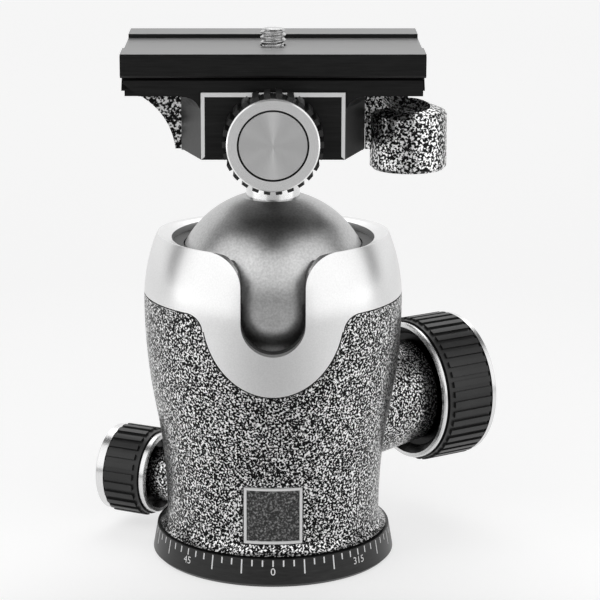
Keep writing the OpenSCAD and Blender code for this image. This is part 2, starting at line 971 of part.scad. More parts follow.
module clamp_bolt() {
  color("silver") {
    translate([0, 0, bolt_end_z])
      cylinder(r = bolt_r, h = deck_z - bolt_head_h - bolt_end_z + eps);
    difference() {
      translate([0, 0, deck_z - bolt_head_h])
        cylinder(r = bolt_head_r, h = bolt_head_h);
      translate([0, 0, deck_z - bolt_head_h / 2])
        cylinder(r = bolt_r, h = bolt_head_h, $fn = 6);
    }
  }
}

module lever_pin() {
  color("silver")
    translate([pivot_x, pivot_y, clamp_z + floor_t])
      cylinder(r = pin_r, h = deck_top_z - clamp_z - floor_t);
}

module guide_pins() {
  color("silver")
    for (side = [-1, 1])
      forward(guide_z)
        translate([side * pin_x, 0, 0])
          cylinder(r = guide_r, h = guide_front);
}

// Hollow flare that leads the block's right side facet out to the bar
module side_flare() {
  turn = atan(((block_back_w - block_w) / 2 - block_chamfer) / (block_front - block_chamfer - block_back));
  tip = 0.15;
  intersection() {
    translate([block_back_w / 2, -block_back, 0])
      rotate([90, 0, -turn])
        translate([0, 0, -flare_r])
          linear_extrude(block_front)
            difference() {
              translate([-1, bar_z - flare_r])
                square([flare_r + 1, flare_r]);
              translate([flare_r - tip, bar_z - flare_r - tip])
                circle(r = flare_r);
            }
    translate([0, -jaw_w / 2, 0])
      cube([far, far, far + far + far]);
  }
}

module front_jaw() {
  color("black")
    difference() {
      union() {
        intersection() {
          union() {
            translate([0, 0, clamp_z])
              linear_extrude(far)
                polygon([
                  [-block_w / 2, -block_front], [block_w / 2, -block_front],
                  [block_w / 2 + block_chamfer, -block_front + block_chamfer], [block_back_w / 2, -block_back],
                  [-block_back_w / 2, -block_back], [-block_w / 2 - block_chamfer, -block_front + block_chamfer]]);
            side_flare();
            mirror([1, 0, 0])
              side_flare();
          }
          across(far)
            polygon([
              [-block_front + block_chamfer, block_z], [-block_front, block_z + block_chamfer],
              [-block_front, block_top_z - block_chamfer], [-block_front + block_chamfer, block_top_z],
              [-jaw_w / 2 + eps, block_top_z], [-jaw_w / 2 + eps, bar_z], [-jaw_foot_y + 2.5, bar_z],
              [-jaw_foot_y + 2.5, deck_z - flat_gap], [-block_back, deck_z - flat_gap], [-block_back, block_z]]);
        }
        difference() {
          across(jaw_l)
            jaw_bar_outline(bar_z);
          through(-far, 0)
            polygon([
              [-jaw_l / 2 - eps, bar_z - eps], [-jaw_l / 2 + bar_cut_w, bar_z - eps],
              [-jaw_l / 2 - eps, bar_z + bar_cut_h]]);
        }
      }
      for (side = [-1, 1])
        forward(guide_z)
          translate([side * pin_x, 0, 0])
            cylinder(r = guide_r + running, h = guide_front + 2.2);
      forward(tension_z)
        cylinder(r = tension_screw_r + running, h = far);
    }
}

// Flat link that carries the cam's push to the front jaw
module jaw_yoke() {
  color("silver")
    difference() {
      translate([yoke_in_x, -block_back, yoke_z])
        cube([yoke_tine_x - yoke_in_x, yoke_back_y + block_back, yoke_t]);
      translate([cam_x - yoke_slot - 0.4, cam_y - yoke_slot, yoke_z - eps])
        cube([far, 2 * yoke_slot, yoke_t + 2 * eps]);
    }
}

// Clamp tension knob

module clamp_knob_core() {
  face_r = tension_face_d / 2;
  cap_r = tension_cap_d / 2;
  drum_r = tension_grip_d / 2 - grip_wall;
  face_t = 1.4;
  start = block_front + flat_gap;
  end = start + tension_l;
  color("silver")
    forward(tension_z)
      rotate_extrude()
        polygon([
          [tension_screw_r, start], [drum_r, start], [drum_r, end - face_t], [face_r, end - face_t],
          [face_r, end - knob_bevel], [face_r - knob_bevel, end], [cap_r, end], [cap_r, end - face_t],
          [tension_screw_r, end - face_t]]);
}

module clamp_knob_grip() {
  color("black")
    forward(tension_z)
      translate([0, 0, block_front + flat_gap + 0.4])
        ribbed_grip(tension_grip_d, tension_grip_d / 2 - grip_wall, tension_ribs, tension_l - 1.8, tension_rib_h,
          0, 0, 0);
}

module clamp_knob_cap() {
  color("lightgray")
    forward(tension_z)
      translate([0, 0, block_front + flat_gap + tension_l - 1.4])
        cylinder(r = tension_cap_d / 2 - flat_gap, h = 1.3);
}

module clamp_screw() {
  color("silver")
    forward(tension_z)
      translate([0, 0, tension_screw_end])
        cylinder(r = tension_screw_r, h = block_front + flat_gap + tension_l - 1.4 - tension_screw_end);
}

// Release lever

// Plan of the arm from the pivot to the finger grip
module arm_outline() {
  polygon([
    [pivot_x, pivot_y - hub_r], [casting_right + 0.8, pivot_y - hub_r], [grip_x, grip_y - arm_half_w],
    [grip_x, grip_y + arm_half_w], [pivot_x, pivot_y + hub_r]]);
}

module release_lever() {
  color("gray")
    difference() {
      union() {
        translate([cam_x, cam_y, cam_z])
          cylinder(r = cam_r, h = hub_z - cam_z + eps);
        translate([pivot_x, pivot_y, hub_z])
          cylinder(r = hub_r, h = hub_top_z - hub_z);
        translate([0, 0, hub_z])
          linear_extrude(arm_top_z - hub_z)
            arm_outline();
        difference() {
          translate([0, 0, arm_z])
            linear_extrude(hub_z - arm_z + eps)
              arm_outline();
          translate([pivot_x, pivot_y, arm_z - eps])
            cylinder(r = arm_keepout_r, h = far);
          translate([-far, -far, arm_z - eps])
            cube([far + casting_right + 0.8, 2 * far, far]);
        }
        translate([grip_x, grip_y, 0])
          rotate_extrude()
            polygon([
              [0, grip_z], [grip_d / 2 - grip_chamfer, grip_z], [grip_d / 2, grip_z + grip_chamfer],
              [grip_d / 2, grip_rim_z - grip_chamfer], [grip_d / 2 - 0.6, grip_rim_z + 0.2],
              [grip_tip_r, grip_top_z], [0, grip_top_z]]);
      }
      translate([grip_x, scoop_y, scoop_z])
        sphere(r = scoop_r);
      translate([pivot_x, pivot_y, clamp_z])
        cylinder(r = pin_r + running, h = far);
    }
}

// Camera plate

module camera_plate() {
  half = plate_w / 2;
  foot = dovetail_w / 2;
  neck = foot - dovetail_in;
  land_in = half - land_w;
  top = floor_z + land_h;
  color("black")
    difference() {
      across(plate_l)
        polygon([
          [-foot, plate_z], [-foot, plate_z + dovetail_flat], [-neck, plate_z + dovetail_flat + dovetail_in],
          [-neck, platform_z], [-half + plate_chamfer, platform_z], [-half, platform_z + plate_chamfer],
          [-half, top - plate_chamfer], [-half + plate_chamfer, top], [-land_in, top], [-land_in, floor_z],
          [land_in, floor_z], [land_in, top], [half - plate_chamfer, top], [half, top - plate_chamfer],
          [half, platform_z + plate_chamfer], [half - plate_chamfer, platform_z], [neck, platform_z],
          [neck, plate_z + dovetail_flat + dovetail_in], [foot, plate_z + dovetail_flat], [foot, plate_z]]);
      translate([0, 0, plate_z - eps])
        cylinder(r = screw_head_r + clear, h = screw_head_z + screw_head_h + flat_gap - plate_z);
      cylinder(r = screw_r + running, h = far + floor_z);
    }
}

module camera_screw() {
  neck_z = screw_head_z + screw_head_h;
  thread_z = floor_z + screw_neck_top;
  tip_z = floor_z + screw_rise;
  color("silver") {
    difference() {
      translate([0, 0, screw_head_z])
        cylinder(r = screw_head_r, h = screw_head_h);
      translate([-far, -slot_w / 2, screw_head_z - eps])
        cube([2 * far, slot_w, slot_h]);
    }
    translate([0, 0, neck_z - eps])
      cylinder(r = screw_neck_r, h = thread_z - neck_z + 2 * eps);
    translate([0, 0, thread_z])
      cylinder(r = screw_r, h = tip_z - screw_tip - thread_z);
    translate([0, 0, tip_z - screw_tip])
      cylinder(r1 = screw_r, r2 = screw_r - screw_tip, h = screw_tip);
  }
}

base_plate();
socket_bush();
thrust_washer();
spindle_nut();
housing_casting();
collar();
seat_sleeve();
seat_ring();
pan_bush();
badge();
main_knob_core();
main_knob_grip();
main_knob_cap();
main_lock_screw();
lock_plunger();
lower_cup();
cup_liner();
pan_knob_core();
pan_knob_grip();
pan_knob_cap();
pan_lock_screw();
brake_shoe();
ball_core();
ball();
stem();
clamp_casting();
rear_jaw();
clamp_bolt();
lever_pin();
guide_pins();
front_jaw();
jaw_yoke();
clamp_knob_core();
clamp_knob_grip();
clamp_knob_cap();
clamp_screw();
release_lever();
camera_plate();
camera_screw();
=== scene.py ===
"""Looks of the center ball head: materials, dial, threads, studio light and the photograph's camera."""

import json
import math

import bpy
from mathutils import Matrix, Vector


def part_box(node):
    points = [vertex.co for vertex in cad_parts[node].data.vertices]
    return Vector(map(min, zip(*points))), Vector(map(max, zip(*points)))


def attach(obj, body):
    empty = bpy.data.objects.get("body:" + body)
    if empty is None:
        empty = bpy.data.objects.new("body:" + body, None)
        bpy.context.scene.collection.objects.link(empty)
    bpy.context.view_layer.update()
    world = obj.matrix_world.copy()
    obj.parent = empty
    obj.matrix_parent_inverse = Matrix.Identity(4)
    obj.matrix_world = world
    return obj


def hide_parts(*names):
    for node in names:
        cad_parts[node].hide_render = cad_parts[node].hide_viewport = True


MM = 0.001

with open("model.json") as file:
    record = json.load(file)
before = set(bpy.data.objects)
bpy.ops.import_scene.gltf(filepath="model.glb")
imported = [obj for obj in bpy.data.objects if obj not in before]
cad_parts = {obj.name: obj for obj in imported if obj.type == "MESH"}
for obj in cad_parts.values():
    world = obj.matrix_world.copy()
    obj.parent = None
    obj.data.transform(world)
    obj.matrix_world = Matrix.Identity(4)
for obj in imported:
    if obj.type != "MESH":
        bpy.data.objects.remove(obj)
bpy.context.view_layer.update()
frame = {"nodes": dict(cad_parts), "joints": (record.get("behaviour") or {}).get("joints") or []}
nodes = frame["nodes"]
joints = {joint["name"]: joint for joint in frame["joints"]}


# Node helpers

def grey(v):
    """An opaque grey."""
    return (v, v, v, 1.0)


class Shader:
    """A Principled material that is built node by node."""

    def __init__(self, name, **values):
        self.mat = bpy.data.materials.new(name)
        self.mat.use_nodes = True
        self.tree = self.mat.node_tree
        self.bsdf = self.tree.nodes["Principled BSDF"]
        for key, value in values.items():
            self.bsdf.inputs[key.replace("_", " ")].default_value = value
        self.coords = self.add("ShaderNodeTexCoord").outputs["Object"]

    def add(self, kind, **settings):
        node = self.tree.nodes.new(kind)
        for key, value in settings.items():
            setattr(node, key, value)
        return node

    def link(self, source, target):
        self.tree.links.new(source, target)

    def feed(self, target, value):
        """Sets an input to a plain value, or links an output to it."""
        if isinstance(value, (int, float, tuple)):
            target.default_value = value
        else:
            self.link(value, target)

    def math(self, operation, a, b=0.0, c=0.0):
        node = self.add("ShaderNodeMath", operation=operation)
        for target, value in zip(node.inputs, (a, b, c)):
            self.feed(target, value)
        return node.outputs[0]

    def weigh(self, a, b, share):
        """The mean of two values, in which a has the given share."""
        return self.math("MULTIPLY_ADD", a, share, self.math("MULTIPLY", b, 1.0 - share))

    def vector(self, operation, *values):
        """Outputs of a vector operation: Vector, or Value where the result is a number."""
        node = self.add("ShaderNodeVectorMath", operation=operation)
        for target, value in zip(node.inputs, values):
            self.feed(target, value)
        return node.outputs

    def transform(self, vector, kind, origin, result):
        node = self.add("ShaderNodeVectorTransform", vector_type=kind, convert_from=origin, convert_to=result)
        self.link(vector, node.inputs[0])
        return node.outputs[0]

    def stretched(self, scale):
        node = self.add("ShaderNodeMapping")
        node.inputs["Scale"].default_value = scale
        self.link(self.coords, node.inputs["Vector"])
        return node.outputs[0]

    def noise(self, scale, detail=2.0, rough=0.5, vector=None):
        node = self.add("ShaderNodeTexNoise")
        node.inputs["Scale"].default_value = scale
        node.inputs["Detail"].default_value = detail
        node.inputs["Roughness"].default_value = rough
        self.link(vector or self.coords, node.inputs["Vector"])
        return node.outputs["Fac"]

    def ramp(self, factor, stops):
        """Colours by factor; a stop is a place and a grey level or a colour."""
        node = self.add("ShaderNodeValToRGB")
        ramp = node.color_ramp
        while len(ramp.elements) < len(stops):
            ramp.elements.new(0.5)
        for element, (at, colour) in zip(ramp.elements, stops):
            element.position = at
            element.color = grey(colour) if isinstance(colour, float) else (*colour, 1.0)
        self.link(factor, node.inputs["Fac"])
        return node.outputs["Color"]

    def mix(self, factor, a, b):
        """A colour between a and b. Inputs 6 and 7 and output 2 are the node's colours."""
        node = self.add("ShaderNodeMix", data_type="RGBA")
        for place, value in (("Factor", factor), (6, a), (7, b)):
            self.feed(node.inputs[place], value)
        return node.outputs[2]

    def between(self, value, low, high, start=0.0, end=1.0):
        """Takes the range from start to end evenly to the range from low to high."""
        node = self.add("ShaderNodeMapRange")
        for key, limit in (("From Min", start), ("From Max", end), ("To Min", low), ("To Max", high)):
            node.inputs[key].default_value = limit
        self.link(value, node.inputs["Value"])
        return node.outputs["Result"]

    def step(self, value, low, high):
        """A soft step from 0 at low to 1 at high."""
        node = self.add("ShaderNodeMapRange", interpolation_type="SMOOTHSTEP")
        node.inputs["From Min"].default_value = low
        node.inputs["From Max"].default_value = high
        self.link(value, node.inputs["Value"])
        return node.outputs["Result"]

    def split(self, vector):
        node = self.add("ShaderNodeSeparateXYZ")
        self.link(vector, node.inputs[0])
        return node.outputs

    def normal(self):
        """The way that the surface faces, in the piece's own axes."""
        geometry = self.add("ShaderNodeNewGeometry")
        return self.split(self.transform(geometry.outputs["Normal"], "NORMAL", "WORLD", "OBJECT"))

    def bump(self, height, strength, distance):
        node = self.add("ShaderNodeBump")
        node.inputs["Strength"].default_value = strength
        node.inputs["Distance"].default_value = distance
        self.link(height, node.inputs["Height"])
        self.set("Normal", node.outputs["Normal"])

    def set(self, name, source):
        self.link(source, self.bsdf.inputs[name])

    def colour(self, source):
        self.set("Base Color", source)

    def rough(self, source):
        self.set("Roughness", source)


# Materials

def speckle_paint(name, scale, mean):
    """Metallic stove paint with dark grains and bright flakes; mean is where one turns into the other."""
    s = Shader(name, Specular_IOR_Level=0.15)
    warp = s.noise(scale * 0.6, detail=1.0)
    shifted = s.vector("MULTIPLY_ADD", warp, (0.35 / scale,) * 3, s.coords)["Vector"]
    grain = s.noise(scale, detail=1.6, rough=0.55, vector=shifted)
    fine = s.noise(scale * 2.7, detail=1.0)
    total = s.math("MULTIPLY_ADD", fine, 0.22, s.math("MULTIPLY_ADD", grain, 0.9, -0.06))
    dark_grain = [(mean - 0.03, 0.006), (mean - 0.01, 0.02)]
    bright_flake = [(mean + 0.01, 0.3), (mean + 0.03, 0.76), (mean + 0.08, 0.9)]
    s.colour(s.ramp(total, dark_grain + bright_flake))
    s.set("Metallic", s.ramp(total, [(mean - 0.02, 0.6), (mean + 0.03, 0.95)]))
    s.rough(s.ramp(total, [(mean - 0.05, 0.32), (mean + 0.05, 0.28)]))
    s.bump(total, strength=0.15, distance=0.1 * MM)
    return s.mat


def satin_silver():
    """Bead-blasted bright aluminium with faint marks."""
    s = Shader("satin_silver", Metallic=1.0)
    grain = s.noise(2600.0)
    broad = s.noise(60.0)
    s.colour(s.ramp(s.weigh(broad, grain, 0.4), [(0.35, 0.74), (0.65, 0.82)]))
    s.rough(s.between(grain, 0.26, 0.34))
    s.bump(grain, strength=0.05, distance=0.03 * MM)
    return s.mat


def turned(name, axis, colour, rough, pitch, metallic=1.0, anisotropic=0.5, back=None, turn=0.25):
    """Lathe-turned metal: fine rings about an axis and a highlight that runs across them.

    axis is a point and a direction.
    rough gives the two ends between which the rings' roughness varies, and pitch is about their spacing.
    back gives the radius and the reach inside which the piece is left black; on the tension knob this is
    painted shade in the gap round its disc.
    turn is how far the highlight is turned, in full turns: 0.25 for rings, and 0 for a finish of fine rays.
    """
    s = Shader(name, Metallic=metallic, Anisotropic=anisotropic, Anisotropic_Rotation=turn)
    point, direction = axis
    offset = s.vector("SUBTRACT", s.coords, point)["Vector"]
    around = s.vector("CROSS_PRODUCT", offset, direction)["Vector"]
    radius = s.vector("LENGTH", around)["Value"]
    along = s.vector("DOT_PRODUCT", offset, direction)["Value"]
    line = s.add("ShaderNodeTexNoise", noise_dimensions="1D")
    line.inputs["Scale"].default_value = 1.0
    line.inputs["Detail"].default_value = 2.0
    s.link(s.math("MULTIPLY", s.math("ADD", radius, along), 1.0 / pitch), line.inputs["W"])
    rings = line.outputs["Fac"]
    metal = s.ramp(rings, [(0.3, colour * 0.9), (0.7, min(1.0, colour * 1.08))])
    # Near black inside the given radius and reach; on the tension knob this is painted shade in the gap
    if back:
        inside = s.math("LESS_THAN", radius, back[0])
        near = s.math("LESS_THAN", along, back[1])
        metal = s.mix(s.math("MULTIPLY", inside, near), metal, grey(0.012))
    s.colour(metal)
    s.rough(s.between(rings, *rough))
    s.bump(rings, strength=0.08, distance=0.03 * MM)
    tangent = s.vector("NORMALIZE", around)["Vector"]
    s.set("Tangent", s.transform(tangent, "VECTOR", "OBJECT", "WORLD"))
    return s.mat


def graphite():
    """Hard-coated dark ball: satin, with a faint grain."""
    s = Shader("graphite", Metallic=1.0)
    grain = s.noise(1800.0)
    s.colour(s.ramp(grain, [(0.35, 0.46), (0.65, 0.58)]))
    s.rough(s.between(grain, 0.3, 0.4))
    s.bump(grain, strength=0.06, distance=0.03 * MM)
    return s.mat


def black_metal(name, stretch, painted_highlight_edges=None, base=0.006, gloss=0.2, painted_sheen=0.0, brush=900.0):
    """Black anodised metal with a brushed grain.

    The edge-highlight argument is a half width and a height; side and upper chamfers inside them get a
    painted highlight of pale grey.
    The sheen argument is how pale the upper faces are painted, as a painted sheen; they are also glossier.
    brush is the scale of the brushed lines, and stretch draws them out.
    """
    s = Shader(name, Specular_IOR_Level=gloss)
    streak = s.noise(brush, detail=3.0, rough=0.6, vector=s.stretched(stretch))
    fine = s.noise(brush * 2.7, detail=1.0, vector=s.stretched(stretch))
    total = s.weigh(fine, streak, 0.4)
    dark = s.ramp(total, [(0.35, base * 0.6), (0.62, base * 1.6), (0.75, base * 3.0)])
    # Painted highlight: side and upper chamfers are coloured pale grey, but not those that face down
    if painted_highlight_edges:
        half_width, top = painted_highlight_edges
        facing = s.normal()
        ax = s.math("ABSOLUTE", facing["X"])
        ay = s.math("ABSOLUTE", facing["Y"])
        az = s.math("ABSOLUTE", facing["Z"])
        slant = s.math("MAXIMUM", s.math("MINIMUM", ax, ay), s.math("MINIMUM", ay, az))
        place = s.split(s.coords)
        inside = s.math("LESS_THAN", s.math("ABSOLUTE", place["X"]), half_width)
        below = s.math("LESS_THAN", place["Z"], top)
        lit = s.math("MULTIPLY", s.math("GREATER_THAN", facing["Z"], -0.3), s.step(slant, 0.55, 0.66))
        highlight_mask = s.math("MULTIPLY", s.math("MULTIPLY", inside, below), lit)
        s.colour(s.mix(highlight_mask, dark, grey(0.72)))
    elif painted_sheen:
        # Painted sheen: the upper faces are coloured paler than the rest
        upper = s.step(s.normal()["Z"], 0.8, 0.95)
        sheen_colour = s.ramp(total, [(0.35, painted_sheen * 0.85), (0.65, painted_sheen * 1.15)])
        s.colour(s.mix(upper, dark, sheen_colour))
        s.set("Specular IOR Level", s.between(upper, gloss, 1.0))
    else:
        s.colour(dark)
    s.rough(s.between(total, 0.26, 0.44))
    s.bump(total, strength=0.12, distance=0.03 * MM)
    return s.mat


def rubber():
    """Black grip rubber with a fine moulded grain and a little dust."""
    s = Shader("grip_rubber", Specular_IOR_Level=0.45)
    grain = s.noise(3200.0)
    dust = s.noise(140.0, detail=3.0)
    s.colour(s.ramp(s.weigh(dust, grain, 0.5), [(0.35, 0.008), (0.7, 0.02)]))
    s.rough(s.between(grain, 0.32, 0.45))
    s.bump(grain, strength=0.15, distance=0.04 * MM)
    return s.mat


def polymer(name, low, high, scale):
    """Moulded polymer, of a grey between low and high."""
    s = Shader(name)
    grain = s.noise(scale, detail=3.0)
    s.colour(s.ramp(grain, [(0.35, low), (0.65, high)]))
    s.rough(s.between(grain, 0.42, 0.58))
    s.bump(grain, strength=0.12, distance=0.05 * MM)
    return s.mat


def badge_plate():
    """Grained black field inside a pale frame."""
    border = 0.7 * MM
    soft = 0.05 * MM
    low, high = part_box("badge")
    half = (high.x - low.x) / 2 - border
    mid = (low.z + high.z) / 2
    s = Shader("badge_plate")
    place = s.split(s.coords)
    across = s.math("ABSOLUTE", place["X"])
    upright = s.math("ABSOLUTE", s.math("SUBTRACT", place["Z"], mid))
    edge = s.step(s.math("MAXIMUM", across, upright), half - soft, half + soft)
    grain = s.noise(1900.0, rough=0.6)
    field = s.ramp(grain, [(0.38, 0.006), (0.52, 0.05), (0.68, 0.3)])
    s.colour(s.mix(edge, field, grey(0.85)))
    s.rough(s.between(edge, 0.5, 0.35))
    s.bump(grain, strength=0.3, distance=0.1 * MM)
    return s.mat


def bronze():
    """Plain bearing bronze."""
    s = Shader("bronze", Metallic=1.0)
    grain = s.noise(700.0, detail=3.0)
    s.colour(s.ramp(grain, [(0.35, (0.5, 0.33, 0.14)), (0.7, (0.68, 0.47, 0.22))]))
    s.rough(s.between(grain, 0.28, 0.42))
    return s.mat


def printed_white():
    """White ink of the dial."""
    s = Shader("printed_white", Roughness=0.5)
    grain = s.noise(2000.0)
    s.colour(s.ramp(grain, [(0.3, 0.88), (0.7, 0.96)]))
    return s.mat


def steel(name="turned_steel"):
    """Bright machined steel."""
    s = Shader(name, Metallic=1.0)
    grain = s.noise(1600.0)
    s.colour(s.ramp(grain, [(0.35, 0.5), (0.7, 0.66)]))
    s.rough(s.between(grain, 0.22, 0.34))
    s.bump(grain, strength=0.05, distance=0.03 * MM)
    return s.mat


def knob_axis(joint):
    """A knob's axis, as its foot on the upright through the origin and its direction outwards."""
    x, y, z = joints[joint]["pos_m"]
    return (0.0, 0.0, z), tuple(Vector((x, y, 0.0)).normalized())


MAIN_AXIS = knob_axis("main_knob_turn")
PAN_AXIS = knob_axis("pan_knob_turn")
TENSION_AXIS = knob_axis("clamp_knob_turn")
STEM_AXIS = ((0.0, 0.0, 0.0), (0.0, 0.0, 1.0))

# Radius and reach along the axis, inside which a knob's core is black; on the tension knob this is painted
# shade in the gap round its disc
WHOLE_LENGTH = 1.0
MAIN_BACK = (16.85 * MM, 44.0 * MM)
PAN_BACK = (9.35 * MM, 35.0 * MM)
# Painted shade: the tension ring's wall round the disc is coloured near black along its whole length
TENSION_GAP_SHADE = (8.45 * MM, WHOLE_LENGTH)

# Half width and height, inside which the front block's chamfers get a painted highlight
BLOCK_PAINTED_HIGHLIGHT = (17.6 * MM, 121.9 * MM)

KNOB_SILVER = {"colour": 0.74, "rough": (0.2, 0.3), "pitch": 0.06 * MM}
CAP_BLACK = {"colour": 0.03, "rough": (0.3, 0.45), "pitch": 0.1 * MM, "metallic": 0.6}
TENSION_TURNING = {"axis": TENSION_AXIS, "pitch": 0.05 * MM}

body_paint = speckle_paint("body_speckle", scale=1950.0, mean=0.53)
clamp_paint = speckle_paint("clamp_speckle", scale=1600.0, mean=0.512)
silver = satin_silver()
ball_graphite = graphite()
steel_mat = steel()
ring_black = black_metal("ring_black", (0.15, 0.15, 1.0), base=0.01, gloss=0.45)
jaw_black = black_metal("jaw_black", (0.06, 1.0, 1.0))
block_black = black_metal("block_black", (0.06, 1.0, 1.0), BLOCK_PAINTED_HIGHLIGHT)
plate_black = black_metal("plate_black", (0.04, 1.0, 1.0), painted_sheen=0.15, brush=2400.0)
notch_black = black_metal("notch_black", (0.3, 0.3, 1.0), base=0.03)
grip_rubber = rubber()
pale_polymer = polymer("pale_polymer", low=0.6, high=0.72, scale=500.0)
grey_polymer = polymer("seat_polymer", low=0.05, high=0.09, scale=900.0)
bronze_mat = bronze()
white_print = printed_white()
main_silver = turned("main_knob_silver", MAIN_AXIS, back=MAIN_BACK, **KNOB_SILVER)
main_black = turned("main_cap_black", MAIN_AXIS, **CAP_BLACK)
pan_silver = turned("pan_knob_silver", PAN_AXIS, back=PAN_BACK, **KNOB_SILVER)
pan_black = turned("pan_cap_black", PAN_AXIS, **CAP_BLACK)
stem_silver = turned("stem_silver", STEM_AXIS, colour=0.8, rough=(0.16, 0.26), pitch=0.08 * MM)
tension_ring = turned("tension_ring", colour=0.85, rough=(0.24, 0.34), anisotropic=0.3,
                      back=TENSION_GAP_SHADE, **TENSION_TURNING)
tension_disc = turned("tension_disc", colour=0.58, rough=(0.32, 0.42), anisotropic=0.94,
                      turn=0.0, **TENSION_TURNING)

look = {
    "base_plate": ring_black,
    "socket_bush": steel_mat,
    "thrust_washer": pale_polymer,
    "spindle_nut": steel_mat,
    "housing_casting": body_paint,
    "collar": silver,
    "seat_sleeve": notch_black,
    "seat_ring": grey_polymer,
    "pan_bush": bronze_mat,
    "badge": badge_plate(),
    "main_knob_core": main_silver,
    "main_knob_grip": grip_rubber,
    "main_knob_cap": main_black,
    "main_lock_screw": steel_mat,
    "lock_plunger": bronze_mat,
    "lower_cup": steel_mat,
    "cup_liner": pale_polymer,
    "pan_knob_core": pan_silver,
    "pan_knob_grip": grip_rubber,
    "pan_knob_cap": pan_black,
    "pan_lock_screw": steel_mat,
    "brake_shoe": bronze_mat,
    "ball_core": ball_graphite,
    "ball": ball_graphite,
    "stem": stem_silver,
    "clamp_casting": clamp_paint,
    "rear_jaw": jaw_black,
    "clamp_bolt": steel_mat,
    "lever_pin": steel_mat,
    "guide_pins": steel_mat,
    "front_jaw": block_black,
    "jaw_yoke": steel_mat,
    "clamp_knob_core": tension_ring,
    "clamp_knob_grip": grip_rubber,
    "clamp_knob_cap": tension_disc,
    "clamp_screw": steel_mat,
    "release_lever": clamp_paint,
    "camera_plate": plate_black,
    "camera_screw": steel_mat,
}
for name, material in look.items():
    mesh = nodes[name].data
    mesh.materials.clear()
    mesh.materials.append(material)


# Pieces drawn in code

def new_object(name, data):
    obj = bpy.data.objects.new(name, data)
    bpy.context.scene.collection.objects.link(obj)
    return obj


def mesh_piece(name, points, faces, material, body, smooth=True):
    """A piece made of points and faces, which rides on a body."""
    mesh = bpy.data.meshes.new(name)
    mesh.from_pydata([tuple(p) for p in points], [], faces)
    mesh.validate()
    mesh.materials.append(material)
    for polygon in mesh.polygons:
        polygon.use_smooth = smooth
    obj = new_object(name, mesh)
    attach(obj, body)
    return obj


# The graduated ring's sloping face, from its foot to its top
ring_low, ring_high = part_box("base_plate")
FOOT_R = (ring_high.x - ring_low.x) / 2
FOOT_Z = 0.8 * MM
TOP_R = 29.6 * MM
TOP_Z = 7.0 * MM


def on_ring(angle, height, lift):
    """A point on the ring's sloping face, or lifted off it, at an angle from the front and a height."""
    t = (height - FOOT_Z) / (TOP_Z - FOOT_Z)
    r = FOOT_R + (TOP_R - FOOT_R) * t + lift
    return (r * math.sin(angle), -r * math.cos(angle), height)


def numeral_mesh(text, size):
    """Points and faces of a flat numeral, centred on its width, with its top at zero."""
    curve = bpy.data.curves.new("numeral", "FONT")
    curve.body = text
    curve.size = size
    curve.align_x = "CENTER"
    obj = new_object("numeral", curve)
    bpy.context.view_layer.update()
    mesh = bpy.data.meshes.new_from_object(obj.evaluated_get(bpy.context.evaluated_depsgraph_get()))
    points = [v.co.copy() for v in mesh.vertices]
    faces = [tuple(p.vertices) for p in mesh.polygons]
    bpy.data.objects.remove(obj)
    bpy.data.curves.remove(curve)
    bpy.data.meshes.remove(mesh)
    top = max(p.y for p in points)
    return [Vector((p.x, p.y - top, 0)) for p in points], faces


def dial_marks():
    """White marks every 5 degrees, long ones every 15, and below a short one a numeral every 45."""
    lift = 0.02 * MM
    top = TOP_Z - 0.25 * MM
    long_mark = 3.5 * MM
    short_mark = 1.55 * MM
    half_width = 0.17 * MM
    numeral_size = 2.5 * MM
    numeral_top = top - 1.9 * MM
    across = half_width / TOP_R
    points, faces = [], []
    for degrees in range(0, 360, 5):
        numbered = degrees % 45 == 0
        length = long_mark if degrees % 15 == 0 and not numbered else short_mark
        middle = math.radians(-degrees)
        left, right = middle - across, middle + across
        corners = ((left, top), (right, top), (right, top - length), (left, top - length))
        start = len(points)
        points += [on_ring(angle, height, lift) for angle, height in corners]
        faces.append((start, start + 3, start + 2, start + 1))
        if not numbered:
            continue
        flat, cells = numeral_mesh(str(degrees), numeral_size)
        start = len(points)
        points += [on_ring(middle + p.x / TOP_R, numeral_top + p.y, lift) for p in flat]
        faces += [tuple(start + i for i in cell) for cell in cells]
    mesh_piece("dial_marks", points, faces, white_print, "base", smooth=False)


def thread_radius(pitch, minor, major, z, angle):
    """Radius of a V thread with flat crests and roots, at a height and an angle."""
    flat = 0.1
    phase = (z / pitch - angle / (2 * math.pi)) % 1.0
    rise = (abs(2 * phase - 1) - flat) / (1 - 2 * flat)
    return minor + (major - minor) * min(1.0, max(0.0, rise))


def circle_row(r, z, sectors):
    """A level ring of points."""
    return [(r * math.cos(2 * math.pi * i / sectors), r * math.sin(2 * math.pi * i / sectors), z)
            for i in range(sectors)]


def thread_rows(low, high, pitch, minor, major, sectors, fade_low, fade_high):
    """Rings of points up a threaded wall; the thread fades out over the given lengths at its ends."""
    rows_per_turn = 12
    least_depth = 0.03
    count = int((high - low) / pitch * rows_per_turn)
    rows = []
    for k in range(count + 1):
        z = low + (high - low) * k / count
        limit = min((z - low) / fade_low, (high - z) / fade_high, 1.0)
        most = minor + (major - minor) * max(limit, least_depth)
        row = []
        for i in range(sectors):
            a = 2 * math.pi * i / sectors
            r = min(most, thread_radius(pitch, minor, major, z, a))
            row.append((r * math.cos(a), r * math.sin(a), z))
        rows.append(row)
    return rows


def skin(rows, ring=False):
    """Joins rings of points into faces; they look outwards where the rings go up.

    With ring the last ring meets the first, and otherwise both ends are closed.
    """
    sectors = len(rows[0])
    points = [p for row in rows for p in row]
    faces = []
    for k in range(len(rows) if ring else len(rows) - 1):
        this, following = k * sectors, (k + 1) % len(rows) * sectors
        for i in range(sectors):
            j = (i + 1) % sectors
            faces.append((this + i, this + j, following + j, following + i))
    if not ring:
        faces.append(tuple((len(rows) - 1) * sectors + i for i in range(sectors)))
        faces.append(tuple(reversed(range(sectors))))
    return points, faces


